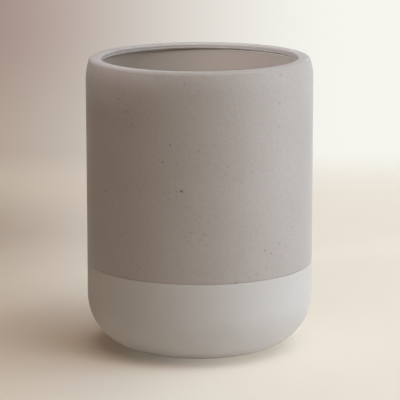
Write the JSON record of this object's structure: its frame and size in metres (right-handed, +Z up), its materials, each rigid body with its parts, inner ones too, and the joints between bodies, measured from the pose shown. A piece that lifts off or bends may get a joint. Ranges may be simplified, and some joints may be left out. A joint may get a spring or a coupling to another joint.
{
  "type": "open bathroom canister",
  "caption": "Open cylindrical stoneware canister for a vanity, with a soft shoulder, a small inward lip, speckled glaze above a matte base band, and soft foot pads.",
  "frame": {"origin": "on the table under the middle of the pot, in the plane of the pads' undersides", "axes": "+Z up along the pot's axis and out of its mouth; the pot is round, so X and Y only place the pads, which lie on the diagonals between them"},
  "size_m": [0.1, 0.1, 0.1298],
  "materials": {
    "fired_clay": "bare fired stoneware, matte",
    "speckled_glaze": "satin warm grey glaze with fine dark iron specks",
    "matte_slip": "smooth matte pale grey slip",
    "liner_glaze": "plain satin pale grey glaze",
    "soft_pad": "clear soft silicone"
  },
  "bodies": {
    "root": {"clay_body": "fired_clay", "speckled_glaze": "speckled_glaze", "base_slip": "matte_slip", "liner_glaze": "liner_glaze", "foot_pad_1": "soft_pad", "foot_pad_2": "soft_pad", "foot_pad_3": "soft_pad", "foot_pad_4": "soft_pad"}
  },
  "joints": []
}
